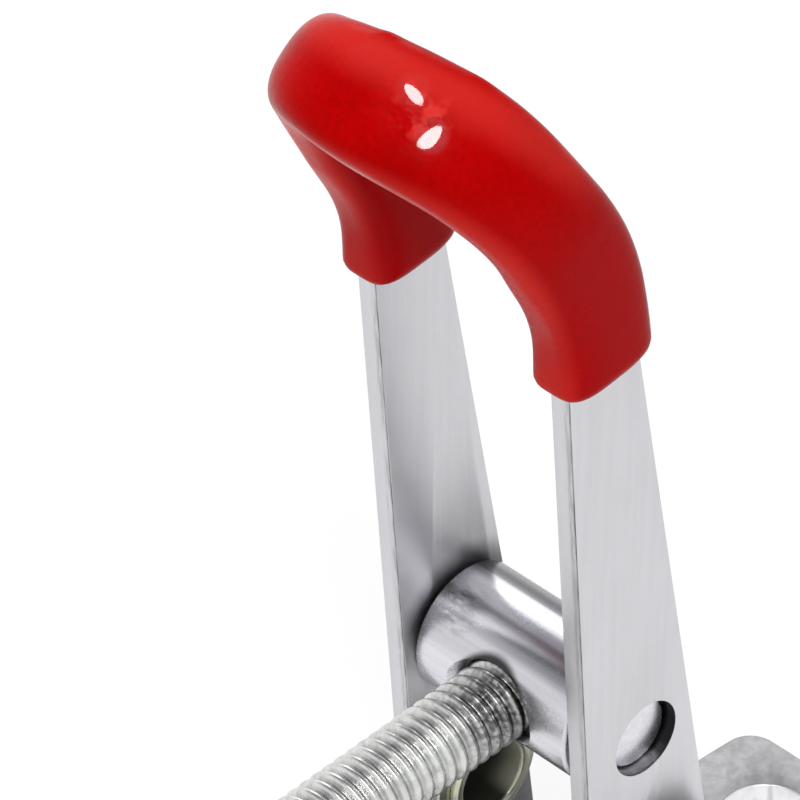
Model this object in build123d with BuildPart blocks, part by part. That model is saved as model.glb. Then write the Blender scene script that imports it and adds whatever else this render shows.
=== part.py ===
from build123d import *
import os
from math import asin, cos, degrees, radians, sin, sqrt, tan

os.makedirs("parts", exist_ok=True)

# Frame: millimetres. The origin is on the mounting surface, straight under the handle's pivot.
# +X runs toward the hook, +Y from the left leg to the right leg, +Z up.

# Strip handle. Leg edges are given at the barrel's axis, as distances and leans from upright.
strip_thickness = 2.3
leg_gap = 21.1
leg_front_at_barrel = 7.4
leg_front_lean = 4.6
leg_rear_at_barrel = 5.9
leg_rear_lean = 11.0
leg_foot_drop = 7.4
leg_foot_radius = 7.2
strip_top_width = 8.0
sweep_radius = 40.0
sweep_end_lean = 80.0
crown_rise = 69.6
crown_lean = 40.0
crown_arch_height = 16.1

# Vinyl grip
grip_face_coat = 2.2
grip_rim_edge_coat = 1.1
grip_crown_edge_coat = 1.8
grip_rounding = 2.9
grip_rim_rounding = 1.2
grip_rim_lean = 5.5
grip_shoulder_lean = 34.0

# Barrel between the legs
barrel_ahead_of_pivot = 2.35
barrel_above_pivot = 19.1
barrel_radius = 6.5
barrel_end_play = 1.9
barrel_left_play = 0.25
barrel_chamfer = 0.3
journal_radius = 3.72
journal_length = 2.7
journal_chamfer = 0.35
journal_clearance = 0.08
thread_clearance = 0.05
countersink_radius = 5.4

# Hook bolt
rod_radius = 3.97
rod_droop = 4.9
rod_behind_barrel = 12.0
rod_ahead_of_barrel = 70.0
hook_bend_radius = 9.0
hook_return = 12.0
rod_end_chamfer = 0.8

# Base stamping
plate_thickness = 3.0
pivot_height = 20.0
ear_radius = 8.5
ear_root_half = 10.5
ear_clearance = 0.3
ear_bend_radius = 1.2
tail_reach = 38.4
tail_half_width = 10.3
nose_reach = 30.0
floor_half_width = 11.0
plate_corner_radius = 3.0
mounting_hole_radius = 4.5
mounting_hole_inset = 8.7

# Pivot rivets and their washers
rivet_radius = 4.55
rivet_clearance = 0.07
rivet_bore_radius = 3.8
rivet_head_radius = 7.0
rivet_head_height = 1.9
rivet_head_rim = 0.5
rivet_lip_radius = 5.0
rivet_lip_thickness = 0.9
rivet_lip_chamfer = 0.3
rivet_solid_end = 2.5
washer_radius = 6.4
washer_thickness = 1.0
washer_gap = 0.1

# Places worked out from the sizes above
leg_inner = leg_gap / 2
leg_outer = leg_inner + strip_thickness
strip_middle = leg_inner + strip_thickness / 2
crown_start = crown_rise - crown_arch_height
barrel_x = barrel_ahead_of_pivot
barrel_z = pivot_height + barrel_above_pivot
barrel_length = leg_gap - barrel_end_play
barrel_offset = barrel_left_play - barrel_end_play / 2
cross_hole_radius = rod_radius + thread_clearance
ear_inner = leg_outer + ear_clearance
ear_outer = ear_inner + plate_thickness
washer_outer = leg_inner - washer_gap
washer_inner = washer_outer - washer_thickness
lip_inner = washer_inner - rivet_lip_thickness
foot_z = pivot_height - leg_foot_drop
wide = 60.0

# The top of the handle sweeps forward on arcs with one centre, tangent to both edges of the leg.
front_radius = sweep_radius - strip_top_width / 2
rear_radius = sweep_radius + strip_top_width / 2
front_cos = cos(radians(leg_front_lean))
front_sin = sin(radians(leg_front_lean))
rear_cos = cos(radians(leg_rear_lean))
rear_sin = sin(radians(leg_rear_lean))
front_span = front_radius + leg_front_at_barrel * front_cos
rear_span = rear_radius - leg_rear_at_barrel * rear_cos
sweep_share = front_sin * rear_cos - rear_sin * front_cos
sweep_ahead = (front_sin * rear_span - rear_sin * front_span) / sweep_share
sweep_above = (front_cos * rear_span - rear_cos * front_span) / sweep_share
sweep_x = barrel_x + sweep_ahead
sweep_z = barrel_z + sweep_above


def swept(radius, lean):
    """Point at a radius from the sweep's centre, where the handle leans so many degrees from upright."""
    return (sweep_x - radius * cos(radians(lean)), sweep_z + radius * sin(radians(lean)))


def down_the_leg(start, lean, z):
    """Point at height z on the straight leg edge that ends at start."""
    return (start[0] - (start[1] - z) * tan(radians(lean)), z)


# Side view: local x is X and local y is Z.
side_plane = Plane.XZ


def side_outline(coat):
    """Outline of the handle from the side, grown outwards by a coat: two straight edges and two arcs."""
    front = front_radius - coat
    rear = rear_radius + coat
    front_start = swept(front, leg_front_lean)
    rear_start = swept(rear, leg_rear_lean)
    front_middle = swept(front, (leg_front_lean + sweep_end_lean) / 2)
    rear_middle = swept(rear, (leg_rear_lean + sweep_end_lean) / 2)
    front_foot = down_the_leg(front_start, leg_front_lean, foot_z)
    rear_foot = down_the_leg(rear_start, leg_rear_lean, foot_z)
    with BuildSketch(side_plane) as outline:
        with BuildLine():
            Line(rear_foot, front_foot)
            Line(front_foot, front_start)
            ThreePointArc(front_start, front_middle, swept(front, sweep_end_lean))
            Line(swept(front, sweep_end_lean), swept(rear, sweep_end_lean))
            ThreePointArc(swept(rear, sweep_end_lean), rear_middle, rear_start)
            Line(rear_start, rear_foot)
        make_face()
        fillet(outline.vertices().group_by(Axis.Y)[0], leg_foot_radius)
    return outline.sketch


# The arch is drawn square to the crown: local x is Y, and local y leans forward from upright.
crown_plane = Plane(
    origin=(barrel_x, 0, barrel_z),
    x_dir=(0, 1, 0),
    z_dir=(cos(radians(crown_lean)), 0, -sin(radians(crown_lean))),
)


def arch_outline(half_thickness):
    """Outline of the hairpin, seen along its bends: two legs joined by half an ellipse."""
    outer = strip_middle + half_thickness
    inner = strip_middle - half_thickness
    outer_height = crown_arch_height + half_thickness
    inner_height = crown_arch_height - half_thickness
    with BuildSketch(crown_plane) as outline:
        with BuildLine():
            Line((outer, -wide), (outer, crown_start))
            EllipticalCenterArc((0, crown_start), outer, outer_height, start_angle=0, arc_size=180)
            Line((-outer, crown_start), (-outer, -wide))
            Line((-outer, -wide), (-inner, -wide))
            Line((-inner, -wide), (-inner, crown_start))
            EllipticalCenterArc((0, crown_start), inner, inner_height, start_angle=0, arc_size=180)
            Line((inner, crown_start), (inner, -wide))
            Line((inner, -wide), (outer, -wide))
        make_face()
    return outline.sketch


# Handle: one steel strip, blanked and bent to a hairpin, with a barrel hole and a pivot hole in each leg
with BuildPart() as handle:
    extrude(arch_outline(strip_thickness / 2), amount=wide, both=True)
    extrude(side_outline(0), amount=wide, both=True, mode=Mode.INTERSECT)
    with BuildSketch(side_plane):
        with Locations((barrel_x, barrel_z)):
            Circle(journal_radius + journal_clearance)
        with Locations((0, pivot_height)):
            Circle(rivet_radius + rivet_clearance)
    extrude(amount=wide, both=True, mode=Mode.SUBTRACT)
handle.part.label = "handle"
export_step(handle.part, "parts/handle.step")

# Grip: one dipped coat, lofted through rounded sections set square to the handle


def grip_section(x, y, z, lean, coat, along):
    """Rounded section round the strip. It lies across the handle, dropping lean degrees toward the front."""
    across = Vector(cos(radians(lean)), 0, -sin(radians(lean)))
    from_centre = Vector(x - sweep_x, 0, z - sweep_z)
    ahead = from_centre.dot(across)
    off_line = from_centre.length**2 - ahead**2
    front = -ahead - sqrt((front_radius - coat) ** 2 - off_line)
    rear = -ahead - sqrt((rear_radius + coat) ** 2 - off_line)
    middle = Vector(x, y, z) + across * ((front + rear) / 2)
    with BuildSketch(Plane(origin=middle, x_dir=across, z_dir=along)) as section:
        RectangleRounded(front - rear, strip_thickness + 2 * grip_face_coat, grip_rounding)
    return section.sketch


def leg_section(side, share):
    """Section of the grip on a leg, from its rim (share 0) to the start of the crown (share 1)."""
    lean = grip_rim_lean + share * (grip_shoulder_lean - grip_rim_lean)
    coat = grip_rim_edge_coat + share * (grip_crown_edge_coat - grip_rim_edge_coat)
    x, z = swept(sweep_radius, grip_rim_lean + share * (crown_start_lean - grip_rim_lean))
    along = (side * sin(radians(lean)), 0, side * cos(radians(lean)))
    return grip_section(x, side * strip_middle, z, lean, coat, along)


def crown_section(turn):
    """Section of the grip round the crown, turn degrees on from the right leg."""
    right = cos(radians(turn))
    up = sin(radians(turn))
    rise = crown_start + crown_arch_height * up
    place = crown_plane.from_local_coords((strip_middle * right, rise))
    ahead = crown_plane.from_local_coords((-strip_middle * up, crown_arch_height * right)) - crown_plane.origin
    return grip_section(place.X, place.Y, place.Z, crown_lean, grip_crown_edge_coat, ahead)


sweep_rise = sweep_ahead * sin(radians(crown_lean)) + sweep_above * cos(radians(crown_lean))
crown_start_lean = crown_lean - degrees(asin((sweep_rise - crown_start) / sweep_radius))
with BuildPart() as grip:
    right_leg = [leg_section(1, share / 3) for share in range(4)]
    crown = [crown_section(turn) for turn in range(30, 151, 20)]
    left_leg = [leg_section(-1, share / 3) for share in (3, 2, 1, 0)]
    loft(right_leg + crown + left_leg)
    fillet(grip.faces().filter_by(GeomType.PLANE).edges(), grip_rim_rounding)
    add(handle.part, mode=Mode.SUBTRACT)
grip.part.label = "grip"
export_step(grip.part, "parts/grip.step")

# Barrel: a turned cross bar with a journal at each end, cross-drilled and countersunk for the hook bolt
rod_direction = Vector(cos(radians(rod_droop)), 0, -sin(radians(rod_droop)))
barrel_centre = Vector(barrel_x, barrel_offset, barrel_z)
barrel_plane = Plane(origin=barrel_centre, x_dir=(1, 0, 0), z_dir=(0, 1, 0))
sink_start = barrel_radius - (countersink_radius - cross_hole_radius)
with BuildPart() as barrel:
    with BuildSketch(barrel_plane):
        Circle(barrel_radius)
    extrude(amount=barrel_length / 2, both=True)
    chamfer(barrel.edges().filter_by(GeomType.CIRCLE), barrel_chamfer)
    with BuildSketch(barrel_plane):
        Circle(journal_radius)
    extrude(amount=barrel_length / 2 + journal_length, both=True)
    chamfer(barrel.faces().sort_by(Axis.Y)[0].edges(), journal_chamfer)
    chamfer(barrel.faces().sort_by(Axis.Y)[-1].edges(), journal_chamfer)
    with BuildSketch(Plane(origin=barrel_centre, x_dir=(0, 1, 0), z_dir=rod_direction)):
        Circle(cross_hole_radius)
    extrude(amount=barrel_length, both=True, mode=Mode.SUBTRACT)
    for way in (1, -1):
        mouth = Plane(origin=barrel_centre, x_dir=(0, 1, 0), z_dir=rod_direction * way)
        with BuildSketch(mouth.offset(sink_start)):
            Circle(cross_hole_radius)
        with BuildSketch(mouth.offset(barrel_radius)):
            Circle(countersink_radius)
        loft(mode=Mode.SUBTRACT)
barrel.part.label = "barrel"
export_step(barrel.part, "parts/barrel.step")

# Hook bolt: a round rod bent to a J, drawn in the plane of its axis with local y pointing down
rod_plane = Plane(origin=barrel_centre, x_dir=rod_direction, z_dir=(0, 1, 0))
rod_end = barrel_centre - rod_direction * rod_behind_barrel
return_drop = 2 * hook_bend_radius
with BuildPart() as hook_bolt:
    with BuildLine(rod_plane):
        Line((-rod_behind_barrel, 0), (rod_ahead_of_barrel, 0))
        ThreePointArc(
            (rod_ahead_of_barrel, 0),
            (rod_ahead_of_barrel + hook_bend_radius, hook_bend_radius),
            (rod_ahead_of_barrel, return_drop),
        )
        Line((rod_ahead_of_barrel, return_drop), (rod_ahead_of_barrel - hook_return, return_drop))
    with BuildSketch(Plane(origin=rod_end, x_dir=(0, 1, 0), z_dir=rod_direction)):
        Circle(rod_radius)
    sweep()
    chamfer(hook_bolt.faces().filter_by(GeomType.PLANE).edges(), rod_end_chamfer)
hook_bolt.part.label = "hook_bolt"
export_step(hook_bolt.part, "parts/hook_bolt.step")

# Base: one stamping, a floor with a tail and a nose, and an ear bent up outside each leg
with BuildPart() as base:
    with BuildSketch(Plane.YZ) as channel:
        Rectangle(2 * ear_outer, pivot_height + ear_radius, align=(Align.CENTER, Align.MIN))
        fillet(channel.vertices().group_by(Axis.Y)[0], ear_bend_radius + plate_thickness)
        with BuildSketch(mode=Mode.PRIVATE) as channel_gap:
            with Locations((0, plate_thickness)):
                Rectangle(2 * ear_inner, wide, align=(Align.CENTER, Align.MIN))
            fillet(channel_gap.vertices().group_by(Axis.Y)[0], ear_bend_radius)
        add(channel_gap.sketch, mode=Mode.SUBTRACT)
    extrude(amount=ear_root_half, both=True)
    with BuildSketch(side_plane) as ear_side:
        with Locations((0, pivot_height)):
            Circle(ear_radius)
        Rectangle(2 * ear_root_half, 2 * plate_thickness, align=(Align.CENTER, Align.MIN))
        make_hull()
    extrude(amount=wide, both=True, mode=Mode.INTERSECT)
    with BuildSketch(Plane.XY):
        with BuildLine():
            Polyline(
                (-tail_reach, -tail_half_width),
                (-ear_root_half, -floor_half_width),
                (nose_reach, -floor_half_width),
                (nose_reach, floor_half_width),
                (-ear_root_half, floor_half_width),
                (-tail_reach, tail_half_width),
                close=True,
            )
        make_face()
    extrude(amount=plate_thickness)
    floor_corners = base.edges().filter_by(Axis.Z).group_by(Axis.X)
    fillet(floor_corners[0] + floor_corners[-1], plate_corner_radius)
    with BuildSketch(Plane.XY):
        with Locations((mounting_hole_inset - tail_reach, 0), (nose_reach - mounting_hole_inset, 0)):
            Circle(mounting_hole_radius)
    extrude(amount=plate_thickness, mode=Mode.SUBTRACT)
    with BuildSketch(side_plane):
        with Locations((0, pivot_height)):
            Circle(rivet_radius)
    extrude(amount=wide, both=True, mode=Mode.SUBTRACT)
base.part.label = "base"
export_step(base.part, "parts/base.step")

# Pivot rivets: a low domed head outside the ear, a hollow shank and a rolled lip inside the leg
pivot_axis = Axis((0, 0, pivot_height), (0, 1, 0))
dome_height = rivet_head_height - rivet_head_rim
dome_radius = (rivet_head_radius**2 + dome_height**2) / (2 * dome_height)
dome_half_height = sqrt(dome_radius**2 - rivet_head_radius**2 / 4) - dome_radius + dome_height
for side, rivet_name in ((-1, "left_rivet"), (1, "right_rivet")):
    radial_plane = Plane(origin=(0, 0, pivot_height), x_dir=(0, 0, 1), z_dir=(-side, 0, 0))
    head_base = ear_outer + rivet_head_rim
    with BuildPart() as rivet:
        with BuildSketch(radial_plane) as rivet_half:
            with BuildLine():
                Polyline(
                    (0, ear_outer - rivet_solid_end),
                    (rivet_bore_radius, ear_outer - rivet_solid_end),
                    (rivet_bore_radius, lip_inner),
                    (rivet_lip_radius, lip_inner),
                    (rivet_lip_radius, washer_inner),
                    (rivet_radius, washer_inner),
                    (rivet_radius, ear_outer),
                    (rivet_head_radius, ear_outer),
                    (rivet_head_radius, head_base),
                )
                ThreePointArc(
                    (rivet_head_radius, head_base),
                    (rivet_head_radius / 2, head_base + dome_half_height),
                    (0, head_base + dome_height),
                )
                Line((0, head_base + dome_height), (0, ear_outer - rivet_solid_end))
            make_face()
            chamfer(rivet_half.vertices().group_by(Axis.Y)[0], rivet_lip_chamfer)
        revolve(axis=pivot_axis)
    rivet.part.label = rivet_name
    export_step(rivet.part, f"parts/{rivet_name}.step")

# Washers: one flat ring between each leg and the rolled lip of its rivet
for side, washer_name in ((-1, "left_washer"), (1, "right_washer")):
    with BuildPart() as washer:
        with BuildSketch(Plane(origin=(0, side * washer_inner, pivot_height), x_dir=(1, 0, 0), z_dir=(0, side, 0))):
            Circle(washer_radius)
            Circle(rivet_radius + rivet_clearance, mode=Mode.SUBTRACT)
        extrude(amount=washer_thickness)
    washer.part.label = washer_name
    export_step(washer.part, f"parts/{washer_name}.step")
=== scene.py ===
import bmesh
import bpy
import numpy as np
from mathutils import Matrix, Quaternion, Vector


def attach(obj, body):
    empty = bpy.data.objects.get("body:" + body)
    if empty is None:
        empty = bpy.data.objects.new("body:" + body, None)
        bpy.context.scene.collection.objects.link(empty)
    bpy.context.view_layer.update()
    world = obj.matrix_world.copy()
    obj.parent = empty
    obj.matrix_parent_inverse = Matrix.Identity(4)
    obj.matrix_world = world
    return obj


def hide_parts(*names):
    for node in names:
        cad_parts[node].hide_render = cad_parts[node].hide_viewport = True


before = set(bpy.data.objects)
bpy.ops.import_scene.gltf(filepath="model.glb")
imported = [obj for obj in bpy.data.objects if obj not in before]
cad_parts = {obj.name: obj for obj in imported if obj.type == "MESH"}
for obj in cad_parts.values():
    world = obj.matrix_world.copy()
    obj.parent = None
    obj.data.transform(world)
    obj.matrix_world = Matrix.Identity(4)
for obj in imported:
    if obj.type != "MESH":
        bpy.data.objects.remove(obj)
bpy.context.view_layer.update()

# Handle: sizes in metres and leans from upright, as in the part's source
STRIP_THICKNESS = 0.0023
STRIP_MIDDLE = 0.0117
STRIP_INNER_FACE = 0.01055
STRIP_TOP_HALF = 0.004
FRONT_AT_BARREL = 0.0074
FRONT_LEAN = np.radians(4.6)
REAR_AT_BARREL = 0.0059
REAR_LEAN = np.radians(11.0)
SWEEP_RADIUS = 0.040
CROWN_LEAN = np.radians(40.0)
CROWN_RISE = 0.0696
CROWN_ARCH = 0.0161

# Barrel, pivot and base
BARREL_AXIS = np.array([0.00235, 0.0, 0.0391])
BARREL_MIDDLE = BARREL_AXIS + np.array([0.0, -0.0007, 0.0])
BARREL_RADIUS = 0.0065
JOURNAL_HOLE_RADIUS = 0.00380
PIVOT = (0.0, 0.0, 0.020)
PIVOT_HOLE_RADIUS = 0.00462
RIVET_BORE_RADIUS = 0.0038
MOUNTING_HOLE_RADIUS = 0.0045
TAIL_HOLE = (-0.0297, 0.0, 0.0)
NOSE_HOLE = (0.0213, 0.0, 0.0)

# Hook bolt
PITCH = 0.0254 / 18
THREAD_DEPTH = 0.00056
THREAD_AHEAD = 0.052
THREAD_RUNOUT = 1.5 * PITCH
ROD_RADIUS = 0.00397
ROD_CHAMFER = 0.0008
ROD_BEHIND = 0.012
ROD_AHEAD = 0.070
ROD_DROOP = np.radians(4.9)
HOOK_BEND = 0.009
HOOK_RETURN = 0.012

# Grip: coats are measured from the strip's faces and edges, and the bends' places from the right rim
RIM_PLACE = np.radians(4.8)
RIM_LEAN = np.radians(10.0)
RIM_ROUNDING = 0.0016
SHOULDER_LEAN = np.radians(34.0)
CROWN_TO_LEFT = 0.0007
FACE_COAT = 0.0022
EDGE_COAT = 0.0011
CROWN_EXTRA_COAT = 0.0007
RIM_EXTRA_COAT = 0.0002
RIGHT_BEND_PLACE = 0.020
RIGHT_BEND_REACH = 0.0075
RIGHT_BEND_THINNING = 0.0009
LEFT_BEND_PLACE = 0.047
LEFT_BEND_REACH = 0.0080
LEFT_BEND_THINNING = 0.0011
FRONT_THINNING = 0.0009
WAIST_THINNING = 0.0004

# Bumps and dents in the coat, each with its centre, reach and height. The first two have a wet gloss
GRIP_BUMPS = (
    ((0.02432, 0.00544, 0.11409), 0.0018, 0.00006),
    ((0.02488, 0.00822, 0.11135), 0.0015, 0.00006),
    ((0.02140, 0.00020, 0.11560), 0.0060, -0.00028),
    ((0.01980, 0.00510, 0.11460), 0.0026, -0.00020),
    ((0.02140, 0.00020, 0.11560), 0.0010, 0.00055),
    ((0.01810, 0.00700, 0.11300), 0.0013, 0.00060),
)
WRINKLED_SPOT = (0.0246, 0.0069, 0.1127)

# Darker patches
DARK_PATCH_SPOT = (0.0060, -0.0075, 0.0446)
ROD_DARK_SPOT = (0.0100, 0.0022, 0.0411)

# Unit directions
ACROSS = (0.0, 1.0, 0.0)
UPRIGHT = (0.0, 0.0, 1.0)
ROD_LINE = (np.cos(ROD_DROOP), 0.0, -np.sin(ROD_DROOP))


# Curves


def smooth(share):
    """An eased step: 3 s^2 - 2 s^3, with s held between 0 and 1."""
    share = np.clip(share, 0.0, 1.0)
    return share * share * (3.0 - 2.0 * share)


def swell(distance, reach):
    """A round swelling, exp(-(distance / reach)^2): 1 at its middle, almost 0 past twice its reach."""
    return np.exp(-((distance / reach) ** 2))


def length_along(points):
    """Length of a line of points, from its first point to each."""
    steps = np.linalg.norm(np.diff(points, axis=0), axis=1)
    return np.concatenate([[0.0], np.cumsum(steps)])


def sweep_middle():
    """Centre of the arcs that the handle's top sweeps on, tangent to both straight edges of a leg.

    Each edge leans from upright by its own angle a. Its arc's radius r and its distance d ahead of the
    barrel's axis give one line for the centre: x cos a - z sin a = r + d. The centre lies where the two
    lines cross."""
    front_span = SWEEP_RADIUS - STRIP_TOP_HALF + FRONT_AT_BARREL * np.cos(FRONT_LEAN)
    rear_span = SWEEP_RADIUS + STRIP_TOP_HALF - REAR_AT_BARREL * np.cos(REAR_LEAN)
    lines = np.array([[np.cos(FRONT_LEAN), -np.sin(FRONT_LEAN)], [np.cos(REAR_LEAN), -np.sin(REAR_LEAN)]])
    x, z = np.linalg.solve(lines, [front_span, rear_span])
    return BARREL_AXIS[0] + x, BARREL_AXIS[2] + z


SWEEP_X, SWEEP_Z = sweep_middle()


# Meshes


def mesh_object(name, points, faces, material, body, smooth=True):
    """A piece from an array of points and a list of faces, with its material and the body it rides on."""
    mesh = bpy.data.meshes.new(name)
    mesh.from_pydata(np.asarray(points, float).reshape(-1, 3).tolist(), [], faces)
    if body:
        face_outwards(mesh)
    mesh.polygons.foreach_set("use_smooth", np.full(len(mesh.polygons), smooth))
    mesh.materials.append(material)
    piece = bpy.data.objects.new(name, mesh)
    bpy.context.scene.collection.objects.link(piece)
    if body:
        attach(piece, body)
    return piece


def face_outwards(mesh):
    """Turns the faces of a closed mesh to point away from its inside."""
    shell = bmesh.new()
    shell.from_mesh(mesh)
    bmesh.ops.recalc_face_normals(shell, faces=shell.faces)
    shell.to_mesh(mesh)
    shell.free()


def softened(node, body, material, width):
    """A copy of a solid with its doubles merged and its flat facets joined, and its sharp edges rounded."""
    merged_within = 0.000002
    flat_within = np.radians(0.5)
    sharp_beyond = np.radians(25.0)
    mesh = bpy.data.meshes.new(node + "_soft_edges")
    shell = bmesh.new()
    shell.from_mesh(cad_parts[node].data)
    bmesh.ops.remove_doubles(shell, verts=shell.verts, dist=merged_within)
    bmesh.ops.dissolve_limit(shell, angle_limit=flat_within, verts=shell.verts, edges=shell.edges)
    shell.to_mesh(mesh)
    shell.free()
    mesh.polygons.foreach_set("use_smooth", np.full(len(mesh.polygons), True))
    mesh.materials.clear()
    mesh.materials.append(material)
    piece = bpy.data.objects.new(node + "_soft_edges", mesh)
    bpy.context.scene.collection.objects.link(piece)
    rounding = piece.modifiers.new("rounded edges", "BEVEL")
    rounding.width = width
    rounding.segments = 3
    rounding.limit_method = "ANGLE"
    rounding.angle_limit = sharp_beyond
    rounding.harden_normals = True
    rounding.use_clamp_overlap = True
    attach(piece, body)
    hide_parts(node)


def grid_faces(rows, columns):
    """Faces of a grid of rings, each joined to the next, with every ring closed on itself."""
    row, column = np.meshgrid(np.arange(rows - 1), np.arange(columns), indexing="ij")
    next_row = row + 1
    next_column = (column + 1) % columns
    quads = np.stack(
        [
            row * columns + column,
            row * columns + next_column,
            next_row * columns + next_column,
            next_row * columns + column,
        ],
        axis=-1,
    )
    return quads.reshape(-1, 4).tolist()


def capped_tube(points):
    """Points and faces of a closed tube: a grid of rings, and a fan from a centre over each end ring."""
    rows, columns, _ = points.shape
    faces = grid_faces(rows, columns)
    start = rows * columns
    ends = np.stack([points[0].mean(axis=0), points[-1].mean(axis=0)])
    column = np.arange(columns)
    following = (column + 1) % columns
    last = (rows - 1) * columns
    faces += np.stack([following, column, np.full(columns, start)], axis=-1).tolist()
    faces += np.stack([last + column, last + following, np.full(columns, start + 1)], axis=-1).tolist()
    return np.concatenate([points.reshape(-1, 3), ends]), faces


# Shader maths


class Signal:
    """One output socket. Sums, products and quotients with it add the Math nodes they need."""

    def __init__(self, finish, socket):
        self.finish = finish
        self.socket = socket

    def maths(self, operation, first, second):
        return self.finish.node("ShaderNodeMath", {"operation": operation}, {0: first, 1: second})

    def __add__(self, other):
        return self.maths("ADD", self, other)

    def __radd__(self, other):
        return self.maths("ADD", other, self)

    def __sub__(self, other):
        return self.maths("SUBTRACT", self, other)

    def __rsub__(self, other):
        return self.maths("SUBTRACT", other, self)

    def __mul__(self, other):
        return self.maths("MULTIPLY", self, other)

    def __rmul__(self, other):
        return self.maths("MULTIPLY", other, self)

    def __truediv__(self, other):
        return self.maths("DIVIDE", self, other)

    def __abs__(self):
        return self.maths("ABSOLUTE", self, 0.0)


class Finish:
    """One surface finish: a node material built up by calls."""

    def __init__(self, name):
        self.material = bpy.data.materials.new(name)
        self.material.use_nodes = True
        self.tree = self.material.node_tree
        self.tree.nodes.clear()

    @classmethod
    def on_tree(cls, tree):
        """The same calls on a node tree that is there already, such as the world's."""
        finish = cls.__new__(cls)
        finish.tree = tree
        tree.nodes.clear()
        return finish

    def node(self, kind, settings=None, values=None, output=0):
        """Adds a node, makes its settings, then gives its sockets values or links. Returns one output."""
        made = self.tree.nodes.new(kind)
        for name, setting in (settings or {}).items():
            setattr(made, name, setting)
        for name, value in (values or {}).items():
            socket = made.inputs[name]
            if isinstance(value, Signal):
                self.tree.links.new(value.socket, socket)
            else:
                socket.default_value = value
        return Signal(self, made.outputs[output]) if made.outputs else None

    def place(self, per_metre=(1.0, 1.0, 1.0)):
        """Object coordinates, in so many steps to the metre along each axis."""
        here = self.node("ShaderNodeTexCoord", output="Object")
        return self.node("ShaderNodeMapping", {}, {"Vector": here, "Scale": per_metre})

    def axis(self, vector, name):
        return self.node("ShaderNodeSeparateXYZ", {}, {0: vector}, output=name)

    def vector_maths(self, operation, first, second, output=0):
        values = {0: first, 1: second}
        return self.node("ShaderNodeVectorMath", {"operation": operation}, values, output=output)

    def near(self, place, centre, inner, outer):
        """1 within the inner distance of a centre, fading to 0 at the outer distance."""
        return self.under(self.vector_maths("DISTANCE", place, centre, "Value"), inner, outer)

    def from_line(self, place, centre, direction):
        """Distance from a line through a centre along a unit direction: the length of offset x direction."""
        offset = self.vector_maths("SUBTRACT", place, centre)
        turned = self.vector_maths("CROSS_PRODUCT", offset, direction)
        return self.node("ShaderNodeVectorMath", {"operation": "LENGTH"}, {0: turned}, output="Value")

    def noise(self, per_metre, detail=3.0, roughness=0.55):
        """Noise from 0 to 1 with so many patches to the metre, along each axis or alike along all three."""
        steps = (per_metre,) * 3 if isinstance(per_metre, float) else per_metre
        values = {"Vector": self.place(steps), "Scale": 1.0, "Detail": detail, "Roughness": roughness}
        return self.node("ShaderNodeTexNoise", {}, values)

    def between(self, signal, low, high, to_low=0.0, to_high=1.0):
        """The signal's run from low to high, spread smoothly from to_low to to_high and held beyond."""
        return self.node(
            "ShaderNodeMapRange",
            {"interpolation_type": "SMOOTHSTEP", "clamp": True},
            {0: signal, 1: low, 2: high, 3: to_low, 4: to_high},
        )

    def under(self, signal, low, high, most=1.0):
        """The most where the signal is under low, fading to 0 at high."""
        return self.between(signal, low, high, most, 0.0)

    def blend(self, share, first, second):
        """Two colours mixed, with the second's share given."""
        values = {0: share, 6: colour(first), 7: colour(second)}
        return self.node("ShaderNodeMix", {"data_type": "RGBA"}, values, output=2)

    def bump(self, height, depth, strength=1.0):
        return self.node("ShaderNodeBump", {}, {"Strength": strength, "Distance": depth, "Height": height})

    def surface(self, **sockets):
        """Ends the material in one shader with the given sockets, their words joined by underscores."""
        named = {}
        for name, value in sockets.items():
            named[name.replace("_", " ").title().replace("Ior", "IOR")] = value
        shader = self.node("ShaderNodeBsdfPrincipled", {}, named)
        self.node("ShaderNodeOutputMaterial", {}, {"Surface": shader})
        return self.material


def colour(value):
    """A colour as a socket takes it: another socket as it is, or red, green and blue made opaque."""
    if isinstance(value, Signal):
        return value
    return (*value, 1.0)


# Finishes


def plated_steel(steel, tint, gloss, grain, streak, relief, shade=1.0, seen=0.10, metal=1.0):
    """Zinc plate over steel: fine streaks as the grain runs, faint clouds, and tiny pits.

    Gloss is the roughness, streak is the streaks' share of the mottle, and seen is how far the mottle
    darkens the tint. Shade is one more factor on the colour, from 0 where no light gets in to 1 on open
    faces."""
    streaks = steel.noise(grain, 4.0, 0.6)
    clouds = steel.noise(90.0)
    pits = steel.noise(2600.0, 2.0)
    light = tuple(min(1.0, level * (1.0 + seen / 2)) for level in tint)
    dark = tuple(level * (1.0 - seen) for level in tint)
    hollow = tuple(0.04 * level for level in tint)
    mottle = steel.between((1.0 - streak) * clouds + streak * streaks, 0.35, 0.65)
    pit_depth = 0.00002
    return steel.surface(
        base_color=steel.blend(shade, hollow, steel.blend(mottle, dark, light)),
        metallic=metal,
        roughness=steel.between(clouds + 0.5 * pits, 0.5, 1.0, gloss * 0.9, gloss * 1.15),
        normal=steel.bump(streak * streaks + 0.35 * pits, pit_depth, relief),
    )


def off_hole(finish, distance, radius, start=0.00001, full=0.00006):
    """0 on the wall of a round hole and 1 on the faces round it, by the distance from the hole's axis."""
    return finish.between(distance, radius + start, radius + full)


def torn_part(strip, across, start, full):
    """1 on the right part of both legs' thickness: it starts, and is full, so far from a leg's middle."""
    face_start = 0.00108
    face_end = 0.00113
    right, left = (
        strip.between(across, middle + start, middle + full)
        * strip.under(across, middle + face_start, middle + face_end)
        for middle in (STRIP_MIDDLE, -STRIP_MIDDLE)
    )
    return right + left


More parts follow.
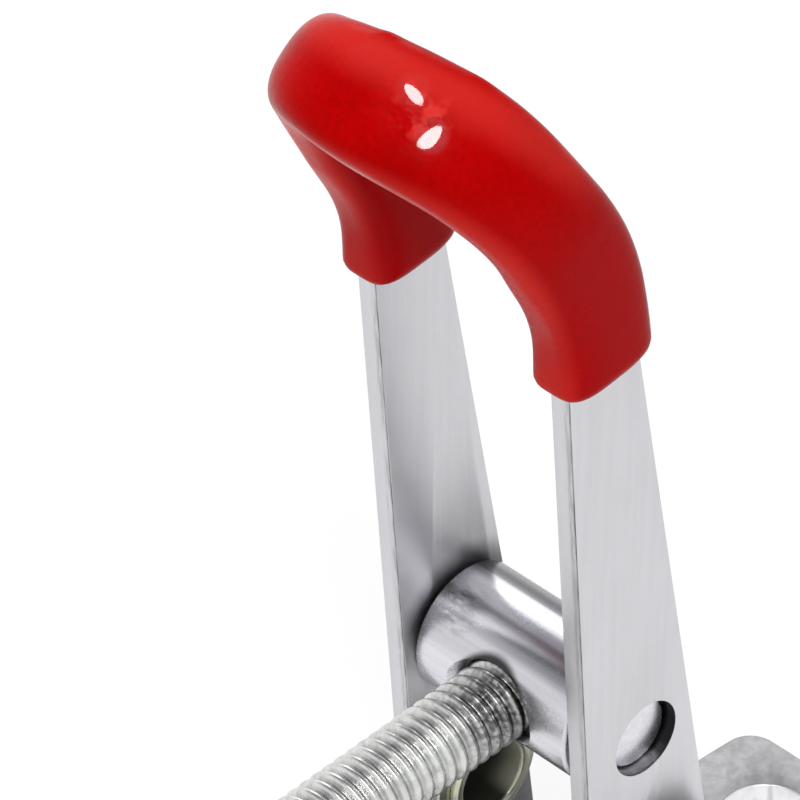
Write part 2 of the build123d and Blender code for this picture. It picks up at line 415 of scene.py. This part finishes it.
def strip_steel():
    """The handle's strip: satin faces, sheared edges with a torn band, painted shade on each hole's wall, and
    painted shade round the barrel's ends.

    Painted light brightens the lower front of each hole's wall. Inside the legs, painted shade and a painted
    dark reflection of the barrel darken the faces round the barrel's ends, and below the barrel they are
    duller."""
    strip = Finish("zinc_strip")
    place = strip.place()
    ahead = strip.axis(place, "X")
    across = strip.axis(place, "Y")
    height = strip.axis(place, "Z")
    torn_grain = strip.between(strip.noise((2400.0, 2400.0, 260.0)), 0.38, 0.60, 0.45, 0.08)
    torn_band = torn_part(strip, across, 0.00020, 0.00055) * torn_grain
    burr_line = torn_part(strip, across, 0.00088, 0.00100)
    torn = torn_band + 0.75 * burr_line
    from_barrel = strip.from_line(place, tuple(BARREL_AXIS), ACROSS)
    from_pivot = strip.from_line(place, PIVOT, ACROSS)
    # Painted light on the lower front of each hole's wall
    lit_wall = strip.under(height, 0.0366, 0.0376) * strip.between(ahead, 0.0, 0.0016)
    # Painted shade: each hole's wall is dark, save where the painted light above falls
    off_journal = off_hole(strip, from_barrel, JOURNAL_HOLE_RADIUS)
    off_holes = off_journal * off_hole(strip, from_pivot, PIVOT_HOLE_RADIUS)
    in_light = off_holes + (1.0 - off_holes) * lit_wall
    inside = strip.under(abs(across), STRIP_INNER_FACE + 0.00001, STRIP_INNER_FACE + 0.00015)
    # Painted shade and a painted dark reflection of the barrel, on the legs' inner faces round its ends
    painted_barrel_shade = inside * strip.between(height, 0.036, 0.042) * strip.under(from_barrel, 0.0064, 0.0094, 0.75)
    return plated_steel(
        strip,
        tint=(0.67, 0.67, 0.695),
        gloss=0.42,
        grain=(1300.0, 1300.0, 50.0),
        streak=0.4,
        relief=0.25,
        shade=in_light * (1.0 - 0.65 * torn) * (1.0 - painted_barrel_shade),
        seen=0.05,
        metal=1.0 - 0.65 * inside * strip.under(height, 0.034, 0.043),
    )


def facing(barrel, degrees, start, full):
    """A stripe along the barrel, on the line that faces so many degrees up from forward.

    The offset from the axis in that direction, over the radius, is the cosine of the angle from the line.
    The stripe is 0 where the cosine is under start and 1 where it is over full."""
    lean = np.radians(degrees)
    offset = barrel.vector_maths("SUBTRACT", barrel.place(), tuple(BARREL_AXIS))
    along = barrel.vector_maths("DOT_PRODUCT", offset, (np.cos(lean), 0.0, np.sin(lean)), "Value")
    return barrel.between(along / BARREL_RADIUS, start, full)


def barrel_steel():
    """The barrel: turned, with soft lengthwise bands, painted bright and dark reflection bands along it, and
    painted shade in the countersunk hole round the rod.

    The ends of its journals stand in the legs' holes, each a pale end face with painted shade on the wall
    round it."""
    barrel = Finish("turned_barrel")
    place = barrel.place()
    # Painted reflections: dark bands along the barrel, at 62 and 116 degrees up from forward
    painted_dark_stripes = 0.52 * facing(barrel, 62.0, 0.984, 0.997) + 0.66 * facing(barrel, 116.0, 0.953, 0.970)
    # Painted reflections: a bright band at 84 degrees and a darker one at 103
    crest = 0.80 + 0.20 * facing(barrel, 84.0, 0.965, 0.990) - 0.42 * facing(barrel, 103.0, 0.970, 0.993)
    bands = barrel.between(barrel.noise((420.0, 9.0, 420.0)), 0.36, 0.60, 0.84, 1.0)
    journal_ends = barrel.between(abs(barrel.axis(place, "Y")), 0.0108, 0.0110)
    from_axis = barrel.from_line(place, tuple(BARREL_AXIS), ACROSS)
    # Painted shade on the journals' round wall in the legs' holes
    painted_journal_wall_shade = journal_ends * barrel.between(from_axis, 0.00345, 0.00365)
    from_rod = barrel.from_line(place, tuple(BARREL_MIDDLE), ROD_LINE)
    # Painted shade inside the countersunk hole round the rod
    painted_countersink_shade = barrel.between(from_rod, 0.0043, 0.0050, 0.03, 1.0)
    grit = barrel.between(barrel.noise((1500.0, 500.0, 1500.0)), 0.40, 0.56)
    # Darker in a grainy patch near the barrel's far end
    dark_grainy_patch = barrel.near(place, DARK_PATCH_SPOT, 0.0012, 0.0034) * grit
    # The barrel's colour factor: random lengthwise bands times the painted reflections, the painted shade
    # round the rod and the darker grainy patch
    turned = crest * bands * (1.0 - painted_dark_stripes) * (1.0 - 0.45 * dark_grainy_patch) * painted_countersink_shade
    return plated_steel(
        barrel,
        tint=(0.90, 0.895, 0.95),
        gloss=0.26,
        grain=(1500.0, 60.0, 1500.0),
        streak=0.8,
        relief=0.14,
        shade=turned * (1.0 - journal_ends) + journal_ends * (0.84 - 0.78 * painted_journal_wall_shade),
        seen=0.07,
    )


def thread_steel():
    """The hook bolt: a bright rolled thread, uneven, with painted shade in the thread's root, and darker in
    ragged patches near the barrel.
    """
    bolt = Finish("bright_thread")
    place = bolt.place()
    uneven = bolt.between(bolt.noise(700.0), 0.35, 0.60, 0.90, 1.0)
    ragged = bolt.noise((500.0, 1900.0, 1900.0), 4.0)
    rolled = uneven * bolt.between(ragged, 0.34, 0.56, 0.88, 1.0)
    # Painted shade in the thread's root, where the radius is small
    painted_root_shade = bolt.between(bolt.from_line(place, tuple(BARREL_MIDDLE), ROD_LINE), 0.0034, 0.0038, 0.72, 1.0)
    shank = bolt.between(bolt.axis(place, "X"), 0.044, 0.052)
    # Darker in ragged patches on the rod near the barrel
    dark_patches_near_barrel = bolt.near(place, ROD_DARK_SPOT, 0.0018, 0.0070) * bolt.between(ragged, 0.40, 0.66, 1.0, 0.45)
    return plated_steel(
        bolt,
        tint=(0.78, 0.79, 0.77),
        gloss=0.30,
        grain=(200.0, 1100.0, 1100.0),
        streak=0.7,
        relief=0.8,
        shade=painted_root_shade * (shank + (1.0 - shank) * rolled) * (1.0 - 0.85 * dark_patches_near_barrel),
        seen=0.14,
    )


def rivet_steel():
    """A hollow rivet: yellowish zinc, with painted shade in its bore and dim painted light on the bore's rear
    wall.
    """
    rivet = Finish("rivet_zinc")
    place = rivet.place()
    # Painted shade on the bore's wall, except at the outer head and the painted light below
    off_bore = off_hole(rivet, rivet.from_line(place, PIVOT, ACROSS), RIVET_BORE_RADIUS, 0.00004, 0.00020)
    from_middle = abs(rivet.axis(place, "Y"))
    outer_head = rivet.between(from_middle, 0.0150, 0.0155)
    # Painted light: the bore's rear wall near its open end is dimly lit
    painted_light_near_open_end = rivet.between(from_middle, 0.0085, 0.0125, 1.0, 0.05)
    rear = rivet.between(rivet.axis(place, "X"), -0.0032, -0.0014, 1.0, 0.05)
    return plated_steel(
        rivet,
        tint=(0.62, 0.62, 0.50),
        gloss=0.30,
        grain=900.0,
        streak=0.4,
        relief=0.5,
        shade=off_bore + (1.0 - off_bore) * (outer_head + painted_light_near_open_end * rear),
        metal=1.0 - 0.75 * (1.0 - off_bore),
    )


def washer_steel():
    """A washer: plain yellowish zinc."""
    washer = Finish("washer_zinc")
    return plated_steel(washer, tint=(0.58, 0.57, 0.47), gloss=0.32, grain=900.0, streak=0.4, relief=0.5)


def base_steel():
    """The base: dull mottled plate, with painted light making the sheared wall of each of its two mounting
    holes bright.
    """
    plate = Finish("base_plate")
    place = plate.place()
    mottle = plate.between(plate.noise(700.0), 0.35, 0.65, 0.93, 1.04)
    burrs = plate.between(plate.noise((300.0, 300.0, 60.0), 2.0), 0.36, 0.48, 0.4, 1.0)
    wall_start = MOUNTING_HOLE_RADIUS + 0.0001
    wall_end = MOUNTING_HOLE_RADIUS + 0.0002
    tail_wall, nose_wall = (
        plate.under(plate.from_line(place, hole, UPRIGHT), wall_start, wall_end)
        for hole in (TAIL_HOLE, NOSE_HOLE)
    )
    # Painted light: each mounting hole's wall is painted bright, broken by dark lines
    painted_hole_wall_light = (tail_wall + nose_wall) * burrs
    return plated_steel(
        plate,
        tint=(0.92, 0.92, 0.94),
        gloss=0.45,
        grain=700.0,
        streak=0.6,
        relief=0.5,
        shade=0.33 * mottle * (1.0 - painted_hole_wall_light) + painted_hole_wall_light,
    )


def dipped_vinyl():
    """Red dipped vinyl: soft gloss, a little darker in patches, with a faint orange-peel skin.

    Painted highlights make it paler along the crown's rear edge and the front edge. Wrinkles spread round a
    spot on the crown, paler with painted sheen, and the two bumps beside it have a wet gloss. Lower down,
    painted shade darkens the red."""
    vinyl = Finish("dipped_red_vinyl")
    place = vinyl.place()
    height = vinyl.axis(place, "Z")
    clouds = vinyl.noise(60.0, 2.0)
    peel = vinyl.noise(420.0, 2.0)
    specks = vinyl.noise(1900.0, 2.0)
    creases = vinyl.noise(620.0, 2.0)
    wrinkled = vinyl.near(place, WRINKLED_SPOT, 0.0012, 0.0034)
    high_gloss, low_gloss = (vinyl.near(place, centre, 0.0011, 0.0018) for centre, _, _ in GRIP_BUMPS[:2])
    from_sweep = vinyl.from_line(place, (SWEEP_X, 0.0, SWEEP_Z), ACROSS)
    # Painted highlights along the crown's rear edge and the front edge
    rear_start = vinyl.between(from_sweep, SWEEP_RADIUS + 0.0005, SWEEP_RADIUS + 0.0036)
    rear_end = vinyl.under(from_sweep, SWEEP_RADIUS + 0.0042, SWEEP_RADIUS + 0.0060)
    rear_edge_highlight = vinyl.between(height, 0.100, 0.107) * rear_start * rear_end
    front_edge_highlight = vinyl.under(from_sweep, SWEEP_RADIUS - 0.0058, SWEEP_RADIUS - 0.0038)
    # Painted sheen on the creases round the glints
    painted_crease_sheen = wrinkled * vinyl.between(creases, 0.50, 0.66)
    painted_sheen = 0.40 * rear_edge_highlight + 0.50 * front_edge_highlight + 0.50 * painted_crease_sheen
    patches = vinyl.between(0.7 * clouds + 0.3 * specks, 0.38, 0.62)
    red = vinyl.blend(patches, (0.37, 0.0, 0.0002), (0.49, 0.0, 0.0004))
    # Painted shade: lower down, on the legs, the red is darker
    red = vinyl.blend(0.8 * vinyl.under(height, 0.093, 0.109), red, (0.38, 0.003, 0.004))
    skin_depth = 0.00025
    return vinyl.surface(
        base_color=vinyl.blend(painted_sheen, red, (0.80, 0.045, 0.035)),
        metallic=0.0,
        specular_ior_level=0.03,
        roughness=vinyl.between(peel, 0.3, 0.7, 0.22, 0.30),
        coat_weight=0.9 * (high_gloss + low_gloss),
        coat_roughness=0.04,
        normal=vinyl.bump(0.25 * peel + 0.12 * specks + 1.5 * wrinkled * creases, skin_depth, 0.5),
    )


# The hook bolt


def rod_place(along):
    """Points on the rod's centre line at these lengths, each with the unit vector toward the hook's inside.

    A straight run of length S, then half a circle of radius R toward the mounting surface, then a straight
    run back. On the half circle the angle is the length past S divided by R."""
    ahead = np.array(ROD_LINE)
    below = np.array([-np.sin(ROD_DROOP), 0.0, -np.cos(ROD_DROOP)])
    straight = ROD_BEHIND + ROD_AHEAD
    angle = np.clip((along - straight) / HOOK_BEND, 0.0, np.pi)[:, None]
    run = np.minimum(along, straight)[:, None]
    back_run = np.maximum(along - straight - np.pi * HOOK_BEND, 0.0)[:, None]
    start = BARREL_MIDDLE - ROD_BEHIND * ahead
    inward = np.cos(angle) * below - np.sin(angle) * ahead
    bend = HOOK_BEND * (below - inward)
    return start + run * ahead + bend - back_run * ahead, inward


def thread_height(turns):
    """Height of a rolled thread after so many turns, 0 at its root and 1 at its crest.

    A triangle wave from 0 to 1, held at the root where it is low and at the flat crest where it is high.
    Each flank is the mean of a straight and an eased step."""
    root_end = 0.10
    flank_rise = 0.68
    wave = 1.0 - np.abs(2.0 * (turns % 1.0) - 1.0)
    flank = np.clip((wave - root_end) / flank_rise, 0.0, 1.0)
    return (smooth(flank) + flank) / 2


def hook_bolt_points(segments=48, rings_per_turn=12, shank_rings=70):
    """Rings round the rod: radius = R - depth * (1 - height(s / pitch - angle / turn)), the thread dying out.

    Both ends are cut back to a cone by the chamfer."""
    total = ROD_BEHIND + ROD_AHEAD + np.pi * HOOK_BEND + HOOK_RETURN
    threaded = ROD_BEHIND + THREAD_AHEAD
    thread_run = np.arange(0.0, threaded, PITCH / rings_per_turn)
    shank_run = np.linspace(threaded, total - ROD_CHAMFER, shank_rings)
    along = np.concatenate([thread_run, shank_run, [total]])
    middle, inward = rod_place(along)
    angle = np.linspace(0.0, 2 * np.pi, segments, endpoint=False)
    fade = np.clip((threaded - along) / THREAD_RUNOUT, 0.0, 1.0)[:, None]
    height = thread_height(along[:, None] / PITCH - angle[None, :] / (2 * np.pi))
    radius = ROD_RADIUS - THREAD_DEPTH * (1.0 - height) * fade
    cone = np.minimum(ROD_RADIUS, ROD_RADIUS - ROD_CHAMFER + np.minimum(along, total - along))
    radius = np.minimum(radius, cone[:, None])
    angle = angle[None, :, None]
    spoke = np.cos(angle) * inward[:, None, :] + np.sin(angle) * np.array(ACROSS)
    return middle[:, None, :] + radius[:, :, None] * spoke


hook_points, hook_faces = capped_tube(hook_bolt_points())
threaded_hook = mesh_object("threaded_hook", hook_points, hook_faces, thread_steel(), "hook")
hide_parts("hook_bolt")


# The grip


def on_sweep(angle, sideways):
    """Places on the sweep's middle arc, at angles up from straight behind its centre, and so far sideways."""
    x = SWEEP_X - SWEEP_RADIUS * np.cos(angle)
    z = SWEEP_Z + SWEEP_RADIUS * np.sin(angle)
    return np.stack([x, np.broadcast_to(sideways, x.shape), z], axis=1)


def grip_path(leg_rings=36, crown_rings=96):
    """Rings along the hairpin, from the right rim over the crown to the left rim, as arrays.

    Every place lies on the sweep's middle arc. On the crown its rise and its way sideways follow half an
    ellipse, (a cos t, b sin t). Gives places, leans, outward directions, the share of the way from rim to
    crown, and the turn t round the crown."""
    crown_start = CROWN_RISE - CROWN_ARCH
    sweep_rise = (SWEEP_X - BARREL_AXIS[0]) * np.sin(CROWN_LEAN)
    sweep_rise = sweep_rise + (SWEEP_Z - BARREL_AXIS[2]) * np.cos(CROWN_LEAN)
    start_lean = CROWN_LEAN - np.arcsin((sweep_rise - crown_start) / SWEEP_RADIUS)
    share = np.linspace(0.0, 1.0, leg_rings, endpoint=False)
    leg_place = on_sweep(RIM_PLACE + share * (start_lean - RIM_PLACE), STRIP_MIDDLE)
    leg_lean = RIM_LEAN + share * (SHOULDER_LEAN - RIM_LEAN)
    leg_out = np.tile(ACROSS, (leg_rings, 1))

    turn = np.linspace(0.0, np.pi, crown_rings)
    rise = crown_start + CROWN_ARCH * np.sin(turn)
    crown_angle = CROWN_LEAN - np.arcsin((sweep_rise - rise) / SWEEP_RADIUS)
    crown_place = on_sweep(crown_angle, STRIP_MIDDLE * np.cos(turn) - CROWN_TO_LEFT * np.sin(turn))
    full_lean_turn = 0.7
    from_leg = np.minimum(turn, np.pi - turn)
    crown_lean = SHOULDER_LEAN + smooth(from_leg / full_lean_turn) * (CROWN_LEAN - SHOULDER_LEAN)
    sideways = CROWN_ARCH * np.cos(turn)
    upward = STRIP_MIDDLE * np.sin(turn)
    crown_out = np.stack([upward * np.sin(CROWN_LEAN), sideways, upward * np.cos(CROWN_LEAN)], axis=1)
    crown_out = crown_out / np.hypot(sideways, upward)[:, None]

    mirror = np.array([1.0, -1.0, 1.0])
    place = np.concatenate([leg_place, crown_place, leg_place[::-1] * mirror])
    lean = np.concatenate([leg_lean, crown_lean, leg_lean[::-1]])
    outward = np.concatenate([leg_out, crown_out, leg_out[::-1] * mirror])
    from_rim = np.concatenate([share, np.ones(crown_rings), share[::-1]])
    whole_turn = np.concatenate([np.zeros(leg_rings), turn, np.full(leg_rings, np.pi)])
    return place, lean, outward, from_rim, whole_turn


def edge_coats(station, from_rim, turn):
    """The coat's thickness on the strip's front and rear edges, and how far each ring is into a bend.

    It grows toward the crown. Behind, a swelling at each bend thins it. In front it is thinner by sin^2 along
    the legs and by a swelling at the left shoulder, and a little thicker near the rims."""
    right_bend = swell(station - RIGHT_BEND_PLACE, RIGHT_BEND_REACH)
    left_bend = swell(station - LEFT_BEND_PLACE, LEFT_BEND_REACH)
    shoulder_turn = 2.1
    shoulder_reach = 0.9
    near_rim = smooth(1.0 - 2.5 * from_rim)
    waist = np.sin(np.pi * from_rim) ** 2
    even_coat = EDGE_COAT + CROWN_EXTRA_COAT * smooth(from_rim)
    rear_coat = even_coat - RIGHT_BEND_THINNING * right_bend - LEFT_BEND_THINNING * left_bend
    front_coat = even_coat + RIM_EXTRA_COAT * near_rim - WAIST_THINNING * waist
    front_coat = front_coat - FRONT_THINNING * swell(turn - shoulder_turn, shoulder_reach)
    return front_coat, rear_coat, np.maximum(right_bend, left_bend)


def grip_points(columns=96):
    """Rings of the dipped coat: each is a superellipse |u/w|^n + |v/t|^n = 1 across the strip.

    The half width w reaches from the front arc to the rear arc of the handle, plus the coat. The half
    thickness t is the strip's and its coat's. Both shrink at the rims along a quarter circle. The power n
    falls in the bends, which rounds them, and rises at the rims. Each bump or dent then moves the points
    outward by height * exp(-(distance / reach)^2)."""
    place, lean, outward, from_rim, turn = grip_path()
    across = np.stack([np.cos(lean), np.zeros(len(lean)), -np.sin(lean)], axis=1)
    front_coat, rear_coat, bend = edge_coats(length_along(place), from_rim, turn)
    x = place[:, 0] - SWEEP_X
    z = place[:, 2] - SWEEP_Z
    ahead = x * np.cos(lean) - z * np.sin(lean)
    off_line = x * x + z * z - ahead * ahead
    front = -ahead - np.sqrt((SWEEP_RADIUS - STRIP_TOP_HALF - front_coat) ** 2 - off_line)
    rear = -ahead - np.sqrt((SWEEP_RADIUS + STRIP_TOP_HALF + rear_coat) ** 2 - off_line)
    middle = place + across * ((front + rear) / 2)[:, None]

    along = length_along(middle)
    from_end = np.minimum(along, along[-1] - along)
    open_share = np.clip(from_end / RIM_ROUNDING, 0.0, 1.0)
    shrink = RIM_ROUNDING * (1.0 - np.sqrt(1.0 - (1.0 - open_share) ** 2))
    half_width = (front - rear) / 2 - shrink
    half_thick = STRIP_THICKNESS / 2 + FACE_COAT - shrink
    leg_power = 3.2
    bend_loss = 0.7
    rim_gain = 0.3
    rim_reach = 0.006
    power = leg_power - bend_loss * bend + rim_gain * smooth(1.0 - from_end / rim_reach)
    power = 2.0 / power[:, None]
    angle = np.linspace(0.0, 2 * np.pi, columns, endpoint=False)[None, :]
    side = np.sign(np.cos(angle)) * np.abs(np.cos(angle)) ** power
    face = np.sign(np.sin(angle)) * np.abs(np.sin(angle)) ** power
    points = (
        middle[:, None, :]
        + (half_width[:, None] * side)[:, :, None] * across[:, None, :]
        + (half_thick[:, None] * face)[:, :, None] * outward[:, None, :]
    )
    for centre, reach, height in GRIP_BUMPS:
        distance = np.linalg.norm(points - np.array(centre), axis=2)
        points = points + (height * swell(distance, reach))[:, :, None] * outward[:, None, :]
    return points


coat_points, coat_faces = capped_tube(grip_points())
dipped_grip = mesh_object("dipped_grip", coat_points, coat_faces, dipped_vinyl(), "handle")
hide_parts("grip")


# The parts that keep their own shape, each with the width that its edges are rounded by

strip_finish = strip_steel()
barrel_finish = barrel_steel()
rivet_finish = rivet_steel()
base_finish = base_steel()
washer_finish = washer_steel()

for node, body, finish, width in (
    ("base", "base", base_finish, 0.00025),
    ("handle", "handle", strip_finish, 0.00025),
    ("barrel", "barrel", barrel_finish, 0.00012),
    ("left_rivet", "base", rivet_finish, 0.00015),
    ("right_rivet", "base", rivet_finish, 0.00015),
    ("left_washer", "base", washer_finish, 0.00015),
    ("right_washer", "base", washer_finish, 0.00015),
):
    softened(node, body, finish, width)


# Floor


def seen_directly(finish):
    """1 for rays that show a backdrop: from the camera, off a gloss or through glass."""
    camera_ray, glossy_ray, glass_ray = (
        finish.node("ShaderNodeLightPath", output=name)
        for name in ("Is Camera Ray", "Is Glossy Ray", "Is Transmission Ray")
    )
    return camera_ray + glossy_ray + glass_ray


def pale_floor():
    """The floor's finish: matt, to take the object's shadow, and lifted to white for rays that show it."""
    floor_finish = Finish("pale_floor")
    matt = floor_finish.node("ShaderNodeBsdfDiffuse", {}, {"Color": (0.86, 0.86, 0.86, 1.0)})
    glow = floor_finish.node("ShaderNodeEmission", {}, {"Color": (1.0, 1.0, 1.0, 1.0), "Strength": 1.08})
    lift = 0.70 * seen_directly(floor_finish)
    shown = floor_finish.node("ShaderNodeMixShader", {}, {0: lift, 1: matt, 2: glow})
    floor_finish.node("ShaderNodeOutputMaterial", {}, {"Surface": shown})
    return floor_finish.material


floor_half = 1.5
floor_corners = [[-1.0, -1.0, 0.0], [1.0, -1.0, 0.0], [1.0, 1.0, 0.0], [-1.0, 1.0, 0.0]]
floor_points = floor_half * np.array(floor_corners)
floor = mesh_object("floor", floor_points, [[0, 1, 2, 3]], pale_floor(), None, smooth=False)


# Light


def soft_box(name, place, size, watts, turn=0.0):
    """A round or oval lamp at a place, aimed at the middle of the clamp and turned about that line."""
    clamp_middle = Vector((0.0, 0.0, 0.08))
    light = bpy.data.lights.new(name, "AREA")
    light.shape = "ELLIPSE"
    light.size, light.size_y = size
    light.energy = watts
    lamp = bpy.data.objects.new(name, light)
    bpy.context.scene.collection.objects.link(lamp)
    lamp.location = place
    aim = (clamp_middle - Vector(place)).to_track_quat("-Z", "Y")
    lamp.rotation_euler = (aim @ Quaternion((0.0, 0.0, 1.0), turn)).to_euler()
    return lamp


overhead = soft_box("overhead", (0.10, -0.30, 0.75), (0.50, 0.50), 2.2)
overhead.visible_glossy = False
soft_box("back_light", (-0.50, -0.45, 0.50), (0.50, 0.50), 1.3)
soft_box("high_spark", (0.336, 0.240, 0.770), (0.12, 0.30), 1.9, np.radians(45.0))
soft_box("low_spark", (0.340, 0.530, 0.550), (0.19, 0.15), 1.6)


def light_room(world):
    """Even daylight on the object. Rays that show the world find it white, darkening to a grey ceiling."""
    sky = Finish.on_tree(world.node_tree)
    daylight = sky.node("ShaderNodeBackground", {}, {"Color": (0.96, 0.96, 0.98, 1.0), "Strength": 0.36})
    height = sky.axis(sky.place(), "Z")
    ceiling = sky.blend(sky.between(height, 0.42, 0.78), (1.0, 1.0, 1.0), (0.26, 0.26, 0.28))
    room = sky.node("ShaderNodeBackground", {}, {"Color": ceiling, "Strength": 1.0})
    shown = sky.node("ShaderNodeMixShader", {}, {0: seen_directly(sky), 1: daylight, 2: room})
    sky.node("ShaderNodeOutputWorld", {}, {"Surface": shown})


world = bpy.data.worlds.new("studio")
world.use_nodes = True
light_room(world)
bpy.context.scene.world = world
bpy.context.scene.view_settings.view_transform = "Standard"


# Camera, turned from the -Y side round the barrel, raised, and moved a little to its own left and up

CAMERA_TURN = np.radians(136.288)
CAMERA_RISE = np.radians(36.06)
CAMERA_DISTANCE = 0.450
CAMERA_TO_LEFT = 0.01310
CAMERA_UPWARD = 0.02482

toward_camera = np.array(
    [
        np.sin(CAMERA_TURN) * np.cos(CAMERA_RISE),
        -np.cos(CAMERA_TURN) * np.cos(CAMERA_RISE),
        np.sin(CAMERA_RISE),
    ]
)
camera_right = np.array([np.cos(CAMERA_TURN), np.sin(CAMERA_TURN), 0.0])
camera_up = np.cross(toward_camera, camera_right)
camera_place = BARREL_AXIS + CAMERA_DISTANCE * toward_camera
camera_place = camera_place - CAMERA_TO_LEFT * camera_right + CAMERA_UPWARD * camera_up
camera_data = bpy.data.cameras.new("camera")
camera_data.sensor_width = 36.0
camera_data.lens = 222.75
camera_data.clip_start = 0.01
camera = bpy.data.objects.new("camera", camera_data)
bpy.context.scene.collection.objects.link(camera)
camera_matrix = np.eye(4)
camera_matrix[:3] = np.stack([camera_right, camera_up, toward_camera, camera_place], axis=1)
camera.matrix_world = Matrix(camera_matrix.tolist())
bpy.context.scene.camera = camera
